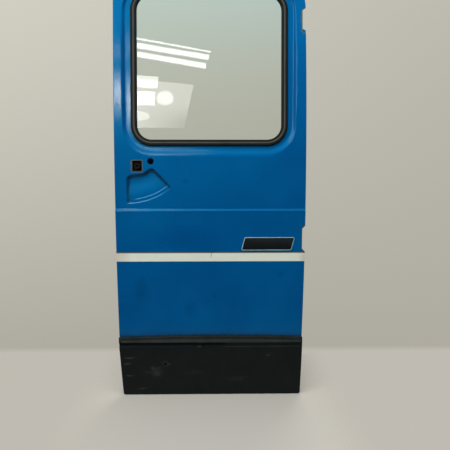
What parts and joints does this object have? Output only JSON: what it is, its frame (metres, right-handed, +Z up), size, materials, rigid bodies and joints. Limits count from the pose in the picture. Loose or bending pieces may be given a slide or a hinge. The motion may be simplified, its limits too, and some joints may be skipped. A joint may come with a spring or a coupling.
{
  "type": "campervan rear barn door leaf",
  "caption": "Right-hung rear barn door leaf of a campervan: crowned steel skin, sealed fixed window, hand pocket, pale stripe, hinge notches and plastic cladding; handle and hinges removed.",
  "frame": {"origin": "middle of the lower hinge seat's outer face", "axes": "+X out of the hinge side, +Y from the outer face into the van, +Z up"},
  "size_m": [0.732, 0.1014, 1.653],
  "materials": {
    "body_paint": "gloss blue enamel, worn",
    "latch_steel": "dull zinc plated",
    "pane_glass": "clear toughened",
    "seal_rubber": "weathered black",
    "filler_strip": "faded brown black",
    "stripe_film": "off-white film",
    "cladding_plastic": "grained black"
  },
  "bodies": {
    "root": {"outer_skin": "body_paint", "upper_hinge_stile": "body_paint", "lower_hinge_stile": "body_paint", "upper_latch_stile": "body_paint", "lower_latch_stile": "body_paint", "top_rail": "body_paint", "waist_rail": "body_paint", "mid_rail": "body_paint", "bottom_rail": "body_paint", "upper_inner_sheet": "body_paint", "lower_inner_sheet": "body_paint", "skin_brace": "body_paint", "upper_hinge_seat": "body_paint", "lower_hinge_seat": "body_paint", "handle_backing_plate": "body_paint", "latch_plate": "latch_steel", "latch_case": "latch_steel", "latch_follower": "latch_steel", "latch_bolt": "latch_steel", "window_glass": "pane_glass", "window_seal": "seal_rubber", "seal_filler_strip": "filler_strip", "body_stripe": "stripe_film", "lower_cladding": "cladding_plastic"}
  },
  "joints": []
}
